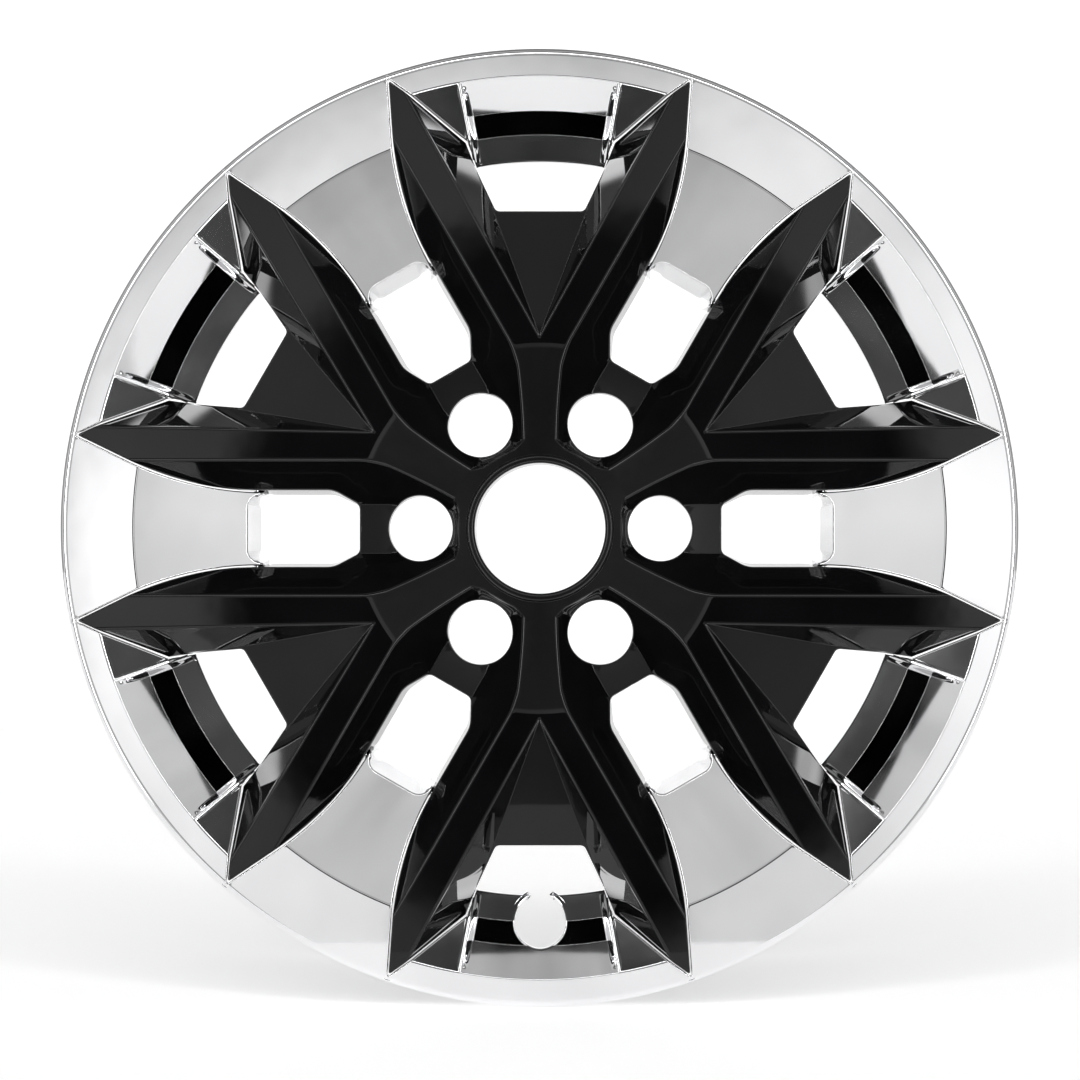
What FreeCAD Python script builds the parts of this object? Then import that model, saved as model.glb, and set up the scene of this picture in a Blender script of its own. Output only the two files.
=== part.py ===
"""Clip-on cover for a six-lug road wheel: a plated ring, a black spoke insert, screws and spring clips.

Each piece is drawn with the wheel axis along its own Z, front towards +Z, and is then stood upright,
so that the front of the finished part faces -Y.  Lug axes lie at 0, 60, 120 ... degrees and the V pairs
of spokes lie half way between them.
"""
import FreeCAD, Part
import os
import Sketcher

SIZES = {
    # whole cover
    "cover_radius": 274.0,
    "lug_count": 6,
    "wall": 2.8,
    "fit_gap": 0.8,
    # ring: lip, band and dished panels
    "lip_back": 14.0,
    "lip_front": 31.0,
    "lip_roll": 5.0,
    "band_edge_radius": 257.6,
    "crease_radius": 231.3,
    "crease_front": 31.8,
    "panel_edge": 170.4,
    "panel_edge_front": 6.5,
    "panel_corner": 6.0,
    "flange_half_width": 20.2,
    "flange_back": -6.0,
    "flange_wall": 2.6,
    "flange_return": 2.0,
    "flange_sink": 0.3,
    # ring: outer window frames
    "frame_half_angle": 17.9,
    "fin_outer_angle": 10.6,
    "fin_inner_angle": 9.9,
    "ridge_radius": 226.0,
    "ridge_front": 18.0,
    "recess_radius": 226.0,
    "recess_front": 7.0,
    "ledge_outer_radius": 241.6,
    "ledge_outer_front": 14.0,
    "ledge_inner_radius": 228.0,
    "ledge_inner_front": 12.6,
    "barrel_edge_radius": 214.4,
    "barrel_edge_front": 2.5,
    "valve_circle_radius": 228.2,
    "valve_hole_radius": 14.8,
    # insert: section
    "spoke_front": 32.0,
    "insert_radius": 270.0,
    "dish_radius": 106.0,
    "hub_radius": 42.6,
    "hub_front": 15.2,
    "bore_radius": 37.7,
    "hub_lip_height": 2.4,
    "hub_lip_round": 2.2,
    "insert_back": -6.0,
    "back_bend_radius": 200.0,
    "tip_back": 16.0,
    # insert: inner windows, along and across a lug axis
    "slot_start": 106.0,
    "slot_start_half": 14.0,
    "slot_chamfer": 120.0,
    "slot_half": 22.2,
    "slot_bend": 200.7,
    "slot_bend_radius": 155.0,
    "tip_along": 263.6,
    "tip_across": 52.9,
    # insert: outer windows, across and along a V axis
    "floor_end": 183.5,
    "floor_end_half": 25.5,
    "window_side": 209.0,
    "window_side_half": 37.3,
    "notch_along": 224.7,
    "notch_half": 43.4,
    # insert: V pockets
    "pocket_apex": 109.3,
    "pocket_floor_angle": 13.0,
    "pocket_half_angle": 20.0,
    "pocket_side_angle": 51.0,
    # insert: lug troughs
    "lug_circle_radius": 69.85,
    "lug_hole_radius": 18.9,
    "well_floor": 1.0,
    "well_radius": 22.0,
    "well_top_radius": 28.6,
    "trough_crease": 38.5,
    "trough_floor_half": 14.4,
    "trough_start": 60.0,
    "trough_start_half": 6.0,
    "trough_start_floor": 17.0,
    "trough_start_crease": 30.0,
    "trough_full": 87.0,
    "web_front": 2.5,
    "trough_end_floor": 0.2,
    # ears, posts, screws and clips behind the panels
    "ear_along": 196.0,
    "ear_across": 12.0,
    "ear_half_length": 7.0,
    "ear_inner_half": 6.0,
    "ear_reach": 5.0,
    "ear_back": 0.0,
    "ear_thickness": 3.0,
    "post_radius": 4.5,
    "post_cover": 0.4,
    "screw_radius": 1.9,
    "screw_length": 11.0,
    "screw_head_radius": 3.9,
    "screw_head_height": 2.4,
    "screw_clearance": 0.15,
    "clip_thickness": 0.8,
    "clip_half_length": 18.0,
    "clip_half_width": 6.0,
    "tongue_half_width": 6.5,
    "tongue_back": 15.0,
    "tongue_hook": 6.0,
}

SHEET_NAME = "Sizes"
# room beyond the solid that a cut is given, so that it runs clear through
CLEAR = 40.0
HALF_PITCH = "180 / Sizes.lug_count"


def size(name):
    """Reference to one driving dimension, for use in an expression."""
    return f"{SHEET_NAME}.{name}"


def make_sheet(doc):
    """Spreadsheet with one aliased cell for each driving dimension."""
    sheet = doc.addObject("Spreadsheet::Sheet", SHEET_NAME)
    for row, (name, value) in enumerate(SIZES.items(), start=1):
        sheet.set(f"A{row}", name)
        sheet.set(f"B{row}", str(value))
        sheet.setAlias(f"B{row}", name)
    doc.recompute()
    return sheet


def plus(first, second):
    """Sum of two expressions."""
    return f"({first}) + ({second})"


def minus(first, second):
    """Difference of two expressions."""
    return f"({first}) - ({second})"


def negative(value):
    """An expression with its sign changed."""
    return f"-({value})"


def moved_corner(before, corner, after, grow):
    """Corner of an outline drawn anticlockwise, moved outwards so that both its sides move by grow."""
    (ax, ay), (bx, by), (cx, cy) = before, corner, after
    first_length = f"sqrt((({bx}) - ({ax}))^2 + (({by}) - ({ay}))^2)"
    second_length = f"sqrt((({cx}) - ({bx}))^2 + (({cy}) - ({by}))^2)"
    first_x = f"((({by}) - ({ay})) / {first_length})"
    first_y = f"((({ax}) - ({bx})) / {first_length})"
    second_x = f"((({cy}) - ({by})) / {second_length})"
    second_y = f"((({bx}) - ({cx})) / {second_length})"
    share = f"(({grow}) / (1 + {first_x} * {second_x} + {first_y} * {second_y}))"
    return (f"({bx}) + {share} * ({first_x} + {second_x})",
            f"({by}) + {share} * ({first_y} + {second_y})")


def grown(corners, grow):
    """Outline whose every side is moved outwards by the same distance."""
    count = len(corners)
    return [moved_corner(corners[i - 1], corners[i], corners[(i + 1) % count], grow)
            for i in range(count)]


def mirrored(corners):
    """Outline reflected in its vertical axis, still drawn anticlockwise."""
    return [(negative(x), y) for x, y in reversed(corners)]


def reflected(corners):
    """Outline reflected in its horizontal axis, still drawn anticlockwise."""
    return [(x, negative(y)) for x, y in reversed(corners)]


def turned(corners):
    """Outline given along and across a lug axis, turned to the V axis beside it."""
    cosine = f"cos({HALF_PITCH} * 1 deg)"
    sine = f"sin({HALF_PITCH} * 1 deg)"
    return [(f"({along}) * {sine} - ({across}) * {cosine}", f"({along}) * {cosine} + ({across}) * {sine}")
            for along, across in corners]


class Piece:
    """A body and the features that build it up."""

    def __init__(self, doc, label):
        self.doc = doc
        self.body = doc.addObject("PartDesign::Body", label)
        self.body.Label = label

    def origin(self, role):
        for feature in self.body.Origin.OriginFeatures:
            if feature.Role == role:
                return feature
        raise ValueError(role)

    def sketch(self, name, plane, offset=None):
        """Empty sketch on one of the body's own planes, at an offset along the plane's normal."""
        sketch = self.body.newObject("Sketcher::SketchObject", name)
        sketch.AttachmentSupport = [(self.origin(plane), "")]
        sketch.MapMode = "FlatFace"
        if offset is not None:
            sketch.setExpression("AttachmentOffset.Base.z", offset)
        self.doc.recompute()
        return sketch

    def revolve(self, kind, name, sketch, angle=None):
        """Full turn of a section about the wheel axis, or a turn centred on the section's plane."""
        feature = self.body.newObject(f"PartDesign::{kind}", name)
        feature.Profile = sketch
        feature.ReferenceAxis = (sketch, ["V_Axis"])
        feature.Angle = 360
        if angle is not None:
            feature.Midplane = True
            feature.setExpression("Angle", f"2 * ({angle})")
        return self.finished(feature, sketch)

    def pocket(self, name, sketch):
        """Cut right through the body, both ways from the sketch."""
        feature = self.body.newObject("PartDesign::Pocket", name)
        feature.Profile = sketch
        feature.Type = "ThroughAll"
        feature.Midplane = True
        return self.finished(feature, sketch)

    def pad(self, name, sketch, length):
        feature = self.body.newObject("PartDesign::Pad", name)
        feature.Profile = sketch
        feature.setExpression("Length", length)
        return self.finished(feature, sketch)

    def blind_pocket(self, name, sketch, length):
        """Cut towards +Z from a sketch, to a depth."""
        feature = self.body.newObject("PartDesign::Pocket", name)
        feature.Profile = sketch
        feature.Reversed = True
        feature.setExpression("Length", length)
        return self.finished(feature, sketch)

    def loft(self, kind, name, sketches):
        """Ruled form through two or more sections."""
        feature = self.body.newObject(f"PartDesign::{kind}", name)
        feature.Profile = sketches[0]
        feature.Sections = sketches[1:]
        feature.Ruled = True
        return self.finished(feature, *sketches)

    def around(self, name, features):
        """Repeat features at every lug pitch."""
        pattern = self.body.newObject("PartDesign::PolarPattern", name)
        pattern.Originals = features
        pattern.Axis = (self.origin("Z_Axis"), [""])
        pattern.Angle = 360
        pattern.setExpression("Occurrences", size("lug_count"))
        self.body.Tip = pattern
        self.doc.recompute()
        return pattern

    def finished(self, feature, *sketches):
        for sketch in sketches:
            sketch.Visibility = False
        self.doc.recompute()
        return feature


def value_of(sketch, expression):
    """Present value of an expression."""
    result = sketch.evalExpression(expression)
    return float(getattr(result, "Value", result))


def bind(sketch, constraint, expression):
    """Add a constraint whose size follows an expression."""
    index = sketch.addConstraint(constraint)
    sketch.setExpression(f"Constraints[{index}]", expression)


def place_point(sketch, geometry, end, point):
    """Tie one end of a line to a place in the sketch."""
    for kind, expression in zip(("DistanceX", "DistanceY"), point):
        value = value_of(sketch, expression)
        bind(sketch, Sketcher.Constraint(kind, -1, 1, geometry, end, value), expression)


def draw_outline(sketch, corners):
    """Closed outline of straight sides, each corner tied to its place."""
    places = [FreeCAD.Vector(value_of(sketch, x), value_of(sketch, y), 0) for x, y in corners]
    count = len(corners)
    lines = []
    for i in range(count):
        side = Part.LineSegment(places[i], places[(i + 1) % count])
        lines.append(sketch.addGeometry(side, False))
    for i in range(count):
        sketch.addConstraint(Sketcher.Constraint("Coincident", lines[i], 2, lines[(i + 1) % count], 1))
    for line, corner in zip(lines, corners):
        place_point(sketch, line, 1, corner)
    return lines


def round_corner(sketch, before, after, radius):
    """Round the corner between two sides of an outline, keeping the corner itself as a tied point."""
    sketch.fillet(before, after, *near_corner(sketch, before, after, radius), True, True)
    arc = sketch.GeometryCount - 1
    while not isinstance(sketch.Geometry[arc], Part.ArcOfCircle):
        arc -= 1
    bind(sketch, Sketcher.Constraint("Radius", arc, value_of(sketch, radius)), radius)


def near_corner(sketch, before, after, radius):
    """Points on both sides near their corner, and the present radius."""
    first = sketch.Geometry[before]
    second = sketch.Geometry[after]
    share = 0.9
    near_first = first.StartPoint + (first.EndPoint - first.StartPoint) * share
    near_second = second.EndPoint + (second.StartPoint - second.EndPoint) * share
    return near_first, near_second, value_of(sketch, radius)


def draw_circle(sketch, across, along, radius):
    """Circle tied to its centre and radius."""
    centre = FreeCAD.Vector(value_of(sketch, across), value_of(sketch, along), 0)
    circle = Part.Circle(centre, FreeCAD.Vector(0, 0, 1), value_of(sketch, radius))
    index = sketch.addGeometry(circle, False)
    bind(sketch, Sketcher.Constraint("Radius", index, value_of(sketch, radius)), radius)
    place_point(sketch, index, 3, (across, along))
    return index


def lug_slot(grow):
    """Inner window along a lug axis, open at its outer end where the spokes spread apart."""
    spread = f"({size('tip_across')} - {size('slot_half')}) / ({size('tip_along')} - {size('slot_bend')})"
    far_along = plus(size("tip_along"), CLEAR)
    far_across = f"{size('tip_across')} + {CLEAR} * {spread}"
    upper = [(far_along, far_across), (size("slot_bend"), size("slot_half")),
             (size("slot_chamfer"), size("slot_half")), (size("slot_start"), size("slot_start_half"))]
    return grown(reflected(upper) + upper, grow)


def outer_window(grow):
    """Outer window about a V axis, open outwards beyond the tips of the spokes."""
    notch = (size("notch_half"), size("notch_along"))
    tip = turned([(size("tip_along"), size("tip_across"))])[0]
    far = (f"2 * ({tip[0]}) - {notch[0]}", f"2 * ({tip[1]}) - {notch[1]}")
    right = [(size("floor_end_half"), size("floor_end")),
             (size("window_side_half"), size("window_side")), notch, far]
    return grown(right + mirrored(right), grow)


def spear(grow):
    """Outline of the right-hand spoke of a V pair, from its tip back past the inner window."""
    inner = turned([(size("slot_chamfer"), size("slot_half")), (size("slot_bend"), size("slot_half")),
                    (size("tip_along"), size("tip_across"))])
    window = [(size("notch_half"), size("notch_along")),
              (size("window_side_half"), size("window_side")),
              (size("floor_end_half"), size("floor_end"))]
    return grown(inner + window, grow)


def cut_top():
    """Level above the front, from which the hollows are cut."""
    return plus(size("spoke_front"), size("wall"))


def trough_section(piece, name, along, floor, floor_half, crease, grow):
    """Section across a lug trough: a flat floor and two sloping sides that reach the spoke tops."""
    rise = minus(size("spoke_front"), floor)
    run = minus(crease, floor_half)
    slope = f"atan(({rise}) / ({run}))"
    floor_level = minus(floor, grow)
    half = f"({floor_half}) + ({grow}) * tan({slope} / 2)"
    top_half = f"({half}) + ({cut_top()} - ({floor_level})) / tan({slope})"
    sketch = piece.sketch(name, "YZ_Plane", along)
    draw_outline(sketch, [(negative(half), floor_level), (half, floor_level),
                          (top_half, cut_top()), (negative(top_half), cut_top())])
    return sketch


def cut_troughs(piece, grow):
    """Hollow along each lug axis, with a round well at the lug hole."""
    start = trough_section(piece, "TroughStart", size("trough_start"), size("trough_start_floor"),
                           size("trough_start_half"), size("trough_start_crease"), grow)
    full = trough_section(piece, "TroughFull", size("trough_full"), size("web_front"),
                          size("trough_floor_half"), size("trough_crease"), grow)
    web_end = trough_section(piece, "TroughWebEnd", size("slot_start"), size("trough_end_floor"),
                             size("trough_floor_half"), size("trough_crease"), grow)
    end = trough_section(piece, "TroughEnd", plus(size("tip_along"), CLEAR), size("trough_end_floor"),
                         size("trough_floor_half"), size("trough_crease"), grow)
    trough = piece.loft("SubtractiveLoft", "Trough", [start, full, web_end, end])
    circles = []
    for name, level, radius in (("WellFloor", minus(size("well_floor"), grow), size("well_radius")),
                                ("WellTop", cut_top(), size("well_top_radius"))):
        circle = piece.sketch(name, "XY_Plane", level)
        draw_circle(circle, size("lug_circle_radius"), "0", plus(radius, grow))
        circles.append(circle)
    well = piece.loft("SubtractiveLoft", "Well", circles)
    piece.around("Troughs", [trough, well])


def cut_pockets(piece, grow):
    """Wedge-shaped hollow inside each V pair of spokes, deeper towards the outer window."""
    least_half = 0.05
    sections = []
    side = f"{size('pocket_side_angle')} * 1 deg"
    length = minus(size("insert_radius"), size("pocket_apex"))
    for name, reach in (("PocketApex", "0"), ("PocketEnd", length)):
        floor = (f"{size('spoke_front')} - ({reach}) * tan({size('pocket_floor_angle')} * 1 deg)"
                 f" - ({grow}) / cos({size('pocket_floor_angle')} * 1 deg)")
        half = (f"{least_half} + ({reach}) * tan({size('pocket_half_angle')} * 1 deg)"
                f" + ({grow}) * tan({side} / 2)")
        top_half = f"({half}) + ({cut_top()} - ({floor})) / tan({side})"
        sketch = piece.sketch(name, "XZ_Plane", f"-({size('pocket_apex')} + ({reach}))")
        draw_outline(sketch, [(negative(half), floor), (half, floor),
                              (top_half, cut_top()), (negative(top_half), cut_top())])
        sections.append(sketch)
    pocket = piece.loft("SubtractiveLoft", "Pocket", sections)
    piece.around("Pockets", [pocket])


def cut_windows(piece, grow):
    """Inner windows, outer windows and lug holes, right through."""
    slot = piece.sketch("SlotOutline", "XY_Plane")
    lines = draw_outline(slot, lug_slot(grow))
    bend = minus(size("slot_bend_radius"), grow)
    for before, after in ((1, 2), (4, 5)):
        round_corner(slot, lines[before], lines[after], bend)
    window = piece.sketch("WindowOutline", "XY_Plane")
    draw_outline(window, outer_window(grow))
    hole = piece.sketch("LugHoleOutline", "XY_Plane")
    draw_circle(hole, size("lug_circle_radius"), "0", plus(size("lug_hole_radius"), grow))
    cuts = [piece.pocket("Slot", slot), piece.pocket("Window", window), piece.pocket("LugHole", hole)]
    piece.around("Windows", cuts)


def make_insert_solid(doc):
    """Spoke insert as if it were solid right through to its back."""
    piece = Piece(doc, "InsertSolid")
    section = piece.sketch("InsertSection", "XZ_Plane")
    lip_front = plus(size("hub_front"), size("hub_lip_height"))
    lines = draw_outline(section, [
        (size("bore_radius"), size("insert_back")),
        (size("back_bend_radius"), size("insert_back")),
        (size("insert_radius"), size("tip_back")),
        (size("insert_radius"), size("spoke_front")),
        (size("dish_radius"), size("spoke_front")),
        (size("hub_radius"), size("hub_front")),
        (size("hub_radius"), lip_front),
        (size("bore_radius"), lip_front)])
    round_corner(section, lines[5], lines[6], size("hub_lip_round"))
    round_corner(section, lines[6], lines[7], size("hub_lip_round"))
    piece.revolve("Revolution", "InsertBlank", section)
    cut_windows(piece, "0")
    cut_troughs(piece, "0")
    cut_pockets(piece, "0")
    add_ears(piece)
    return piece.body


def add_ears(piece):
    """Two ears behind each panel, with screw holes, by which the insert is held."""
    ears = piece.sketch("EarOutlines", "XY_Plane", size("ear_back"))
    inner = minus(size("ear_across"), size("ear_inner_half"))
    outer = plus(size("slot_half"), size("ear_reach"))
    first = minus(size("ear_along"), size("ear_half_length"))
    last = plus(size("ear_along"), size("ear_half_length"))
    upper = [(first, inner), (last, inner), (last, outer), (first, outer)]
    draw_outline(ears, upper)
    draw_outline(ears, reflected(upper))
    draw_screw_holes(ears)
    piece.around("Ears", [piece.pad("Ear", ears, size("ear_thickness"))])


def draw_screw_holes(sketch):
    """Both screw holes behind one panel."""
    radius = plus(size("screw_radius"), size("screw_clearance"))
    for across in (size("ear_across"), negative(size("ear_across"))):
        draw_circle(sketch, size("ear_along"), across, radius)


def make_insert_core(doc):
    """Space inside the spoke insert, one wall in from its front and its sides."""
    piece = Piece(doc, "InsertCore")
    section = piece.sketch("CoreSection", "XZ_Plane")
    front = minus(size("spoke_front"), size("wall"))
    hub_front = minus(size("hub_front"), size("wall"))
    inner = plus(size("bore_radius"), size("wall"))
    outer = minus(size("insert_radius"), size("wall"))
    back = minus(size("insert_back"), CLEAR)
    draw_outline(section, [(inner, back), (outer, back), (outer, front), (size("dish_radius"), front),
                           (size("hub_radius"), hub_front), (inner, hub_front)])
    piece.revolve("Revolution", "CoreBlank", section)
    cut_windows(piece, size("wall"))
    cut_troughs(piece, size("wall"))
    cut_pockets(piece, size("wall"))
    return piece.body


def make_insert(doc):
    """Gloss-black moulding: hub, stems and twelve spear-tipped spokes in six V pairs."""
    insert = doc.addObject("Part::Cut", "spoke_insert")
    insert.Base = make_insert_solid(doc)
    insert.Tool = make_insert_core(doc)
    doc.recompute()
    return insert


def panel_front(radius):
    """Front level of a dished panel at a radius."""
    rise = f"({size('crease_front')} - {size('panel_edge_front')})"
    run = f"({size('crease_radius')} - {size('panel_edge')})"
    return f"{size('panel_edge_front')} + (({radius}) - {size('panel_edge')}) * {rise} / {run}"


def make_ring(doc):
    """Plated moulding: lip, band, six dished panels and six outer window frames."""
    piece = Piece(doc, "chrome_ring")
    add_dish(piece)
    add_frames(piece)
    cut_spears(piece)
    add_flanges(piece)
    add_posts(piece)
    cut_valve_hole(piece)
    return piece.body


def add_dish(piece):
    """Rolled lip, flat band and the dish that becomes the panels."""
    section = piece.sketch("DishSection", "XZ_Plane")
    inner = minus(size("panel_edge"), size("panel_corner"))
    skirt = minus(size("cover_radius"), size("wall"))
    front = [(size("cover_radius"), size("lip_back")), (size("cover_radius"), size("lip_front")),
             (size("crease_radius"), size("crease_front")), (inner, panel_front(inner))]
    back = [(inner, minus(panel_front(inner), size("wall"))),
            (size("crease_radius"), minus(size("crease_front"), size("wall"))),
            (skirt, minus(size("lip_front"), size("wall"))), (skirt, size("lip_back"))]
    lines = draw_outline(section, front + back)
    round_corner(section, lines[0], lines[1], size("lip_roll"))
    round_corner(section, lines[5], lines[6], minus(size("lip_roll"), size("wall")))
    piece.revolve("Revolution", "Dish", section)


def frame_section(piece, name, corners):
    """Section of a window frame, in the plane of a V axis."""
    section = piece.sketch(name, "YZ_Plane")
    draw_outline(section, corners)
    return section


def band_edge():
    """Where a window frame leaves the flat band."""
    fall = f"({size('crease_front')} - {size('lip_front')})"
    run = f"({size('cover_radius')} - {size('crease_radius')})"
    front = f"{size('lip_front')} + ({size('cover_radius')} - {size('band_edge_radius')}) * {fall} / {run}"
    return size("band_edge_radius"), front


def thickened(line):
    """Section of a sheet one wall thick whose front follows a line given from its outer end."""
    slant_share = 1.35
    fall = f"{slant_share} * {size('wall')}"
    back = [(radius, minus(level, fall)) for radius, level in reversed(line)]
    return line + back


def clear_space():
    """Everything inside the band, in front and behind."""
    inner = minus(size("panel_edge"), CLEAR)
    back = minus(size("insert_back"), CLEAR)
    front = plus(size("spoke_front"), CLEAR)
    outer = size("band_edge_radius")
    return [(inner, back), (outer, back), (outer, front), (inner, front)]


def add_frames(piece):
    """Outer window frames: two recesses, two fins and a stepped barrel wall about each V axis."""
    start = band_edge()
    recess_line = [start, (size("recess_radius"), size("recess_front"))]
    barrel_line = [start, (size("ledge_outer_radius"), size("ledge_outer_front")),
                   (size("ledge_inner_radius"), size("ledge_inner_front")),
                   (size("barrel_edge_radius"), size("barrel_edge_front"))]
    fin = [start, (size("ridge_radius"), size("ridge_front")),
           (size("barrel_edge_radius"), size("barrel_edge_front")),
           (size("barrel_edge_radius"), minus(size("barrel_edge_front"), size("wall"))),
           (size("band_edge_radius"), minus(size("ledge_inner_front"), size("wall")))]
    steps = [("Groove", "FrameSpace", clear_space(), size("frame_half_angle")),
             ("Revolution", "Recess", thickened(recess_line), size("frame_half_angle")),
             ("Groove", "FinSpace", clear_space(), size("fin_outer_angle")),
             ("Revolution", "Fins", fin, size("fin_outer_angle")),
             ("Groove", "BarrelSpace", clear_space(), size("fin_inner_angle")),
             ("Revolution", "Barrel", thickened(barrel_line), size("fin_inner_angle"))]
    features = []
    for kind, name, corners, angle in steps:
        section = frame_section(piece, f"{name}Section", corners)
        features.append(piece.revolve(kind, name, section, angle))
    piece.around("Frames", features)


def cut_spears(piece):
    """Openings that take the spokes, a fit gap wider all round."""
    outline = piece.sketch("SpearOutlines", "XY_Plane")
    right = spear(size("fit_gap"))
    bend = plus(size("slot_bend_radius"), size("fit_gap"))
    lines = draw_outline(outline, right)
    round_corner(outline, lines[0], lines[1], bend)
    lines = draw_outline(outline, mirrored(right))
    round_corner(outline, lines[3], lines[4], bend)
    piece.around("Spears", [piece.pocket("Spear", outline)])


def add_flanges(piece):
    """Straight end of each panel, with rounded corners and a flange that runs back from it."""
    edge = size("panel_edge")
    half = size("flange_half_width")
    end = f"{edge} + {size('panel_corner')} + {size('flange_return')}"
    far = plus(half, CLEAR)
    cut = piece.sketch("PanelEndOutline", "XY_Plane")
    lower = [(minus(edge, CLEAR), negative(far)), (end, negative(far)), (end, negative(half)),
             (edge, negative(half))]
    lines = draw_outline(cut, lower + reflected(lower))
    for before, after in ((2, 3), (3, 4)):
        round_corner(cut, lines[before], lines[after], size("panel_corner"))
    panel_end = piece.pocket("PanelEnd", cut)
    strip = piece.sketch("FlangeOutline", "XY_Plane", size("flange_back"))
    inner_half = minus(half, size("flange_wall"))
    inner_edge = plus(edge, size("flange_wall"))
    lower = [(edge, negative(half)), (end, negative(half)), (end, negative(inner_half)),
             (inner_edge, negative(inner_half))]
    lines = draw_outline(strip, lower + reflected(lower))
    inner_round = minus(size("panel_corner"), size("flange_wall"))
    for before, after, radius in ((7, 0, size("panel_corner")), (6, 7, size("panel_corner")),
                                  (2, 3, inner_round), (3, 4, inner_round)):
        round_corner(strip, lines[before], lines[after], radius)
    depth = f"{size('panel_edge_front')} - {size('flange_sink')} - {size('flange_back')}"
    piece.around("Flanges", [panel_end, piece.pad("Flange", strip, depth)])


def add_posts(piece):
    """Two screw posts on the back of each panel."""
    seat = plus(size("ear_back"), size("ear_thickness"))
    posts = piece.sketch("PostOutlines", "XY_Plane", seat)
    holes = piece.sketch("PostHoles", "XY_Plane", seat)
    for across in (size("ear_across"), negative(size("ear_across"))):
        draw_circle(posts, size("ear_along"), across, size("post_radius"))
    draw_screw_holes(holes)
    lowest_front = panel_front(minus(size("ear_along"), size("post_radius")))
    height = f"{lowest_front} - {size('post_cover')} - ({seat})"
    depth = minus(size("screw_length"), size("ear_thickness"))
    features = [piece.pad("Post", posts, height), piece.blind_pocket("PostHole", holes, depth)]
    piece.around("Posts", features)


def cut_valve_hole(piece):
    """Hole for the tyre valve, in the bottom window frame."""
    outline = piece.sketch("ValveOutline", "XY_Plane")
    draw_circle(outline, "0", negative(size("valve_circle_radius")), size("valve_hole_radius"))
    piece.pocket("ValveHole", outline)


def make_screws(doc):
    """Pan-head screws, two behind each panel."""
    piece = Piece(doc, "insert_screws")
    head_back = f"{size('ear_back')} - {size('clip_thickness')} - {size('screw_head_height')}"
    heads = piece.sketch("HeadOutlines", "XY_Plane", head_back)
    shanks = piece.sketch("ShankOutlines", "XY_Plane", minus(size("ear_back"), size("clip_thickness")))
    for across in (size("ear_across"), negative(size("ear_across"))):
        draw_circle(heads, size("ear_along"), across, size("screw_head_radius"))
        draw_circle(shanks, size("ear_along"), across, size("screw_radius"))
    piece.body.AllowCompound = True
    features = [piece.pad("Head", heads, size("screw_head_height")),
                piece.pad("Shank", shanks, size("screw_length"))]
    piece.around("Screws", features)
    return piece.body


def make_clip(doc, number):
    """Spring-steel strip clamped under two screws, with a hooked tongue."""
    piece = Piece(doc, f"retaining_clip_{number + 1}")
    strip = piece.sketch("StripOutline", "XY_Plane", minus(size("ear_back"), size("clip_thickness")))
    first = minus(size("ear_along"), size("clip_half_width"))
    last = plus(size("ear_along"), size("clip_half_width"))
    half = size("clip_half_length")
    draw_outline(strip, [(first, negative(half)), (last, negative(half)), (last, half), (first, half)])
    draw_screw_holes(strip)
    piece.pad("Strip", strip, size("clip_thickness"))
    tongue = piece.sketch("TongueOutline", "XZ_Plane")
    thick = size("clip_thickness")
    back = minus(size("ear_back"), size("tongue_back"))
    hook_edge = minus(first, size("tongue_hook"))
    hook_front = plus(back, size("tongue_hook"))
    root_share, hook_share = 2, 1.5
    draw_outline(tongue, [(plus(first, thick), size("ear_back")), (first, size("ear_back")),
                          (first, plus(back, f"{root_share} * {thick}")), (hook_edge, hook_front),
                          (hook_edge, minus(hook_front, f"{hook_share} * {thick}")),
                          (plus(first, thick), back)])
    feature = piece.pad("Tongue", tongue, f"2 * {size('tongue_half_width')}")
    feature.Midplane = True
    doc.recompute()
    return piece.body


def stand_up(node, turn=None):
    """Turn a piece about the wheel axis, then stand it up with its front towards -Y."""
    upright = FreeCAD.Rotation(FreeCAD.Vector(1, 0, 0), 90)
    about_axis = FreeCAD.Rotation(FreeCAD.Vector(0, 0, 1), turn or 0)
    node.Placement = FreeCAD.Placement(FreeCAD.Vector(0, 0, 0), upright * about_axis)


def check_document(doc):
    """Stop if any object failed to build."""
    for item in doc.Objects:
        if "Invalid" in item.State or "Error" in item.State:
            raise RuntimeError(f"{item.Label} failed: {item.State}")


def write_nodes(nodes):
    """Write one file for each sub-part."""
    os.makedirs("parts", exist_ok=True)
    for node in nodes:
        if node.Shape.isNull() or not node.Shape.isValid():
            raise RuntimeError(f"{node.Label} has no valid shape")
    for node in nodes:
        node.Shape.exportStep(f"parts/{node.Label}.step")
        print(f"{node.Label}: {len(node.Shape.Solids)} solid(s), {node.Shape.Volume / 1000:.2f} cm3")


def main():
    doc = FreeCAD.newDocument("WheelCover")
    make_sheet(doc)
    nodes = [make_ring(doc), make_insert(doc), make_screws(doc)]
    for node in nodes:
        stand_up(node)
    for number in range(SIZES["lug_count"]):
        clip = make_clip(doc, number)
        stand_up(clip, number * 360 / SIZES["lug_count"])
        nodes.append(clip)
    doc.recompute()
    check_document(doc)
    write_nodes(nodes)


main()
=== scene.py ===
import math

import bmesh
import bpy
import numpy as np
from mathutils import Matrix, Vector
from mathutils.geometry import delaunay_2d_cdt


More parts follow.
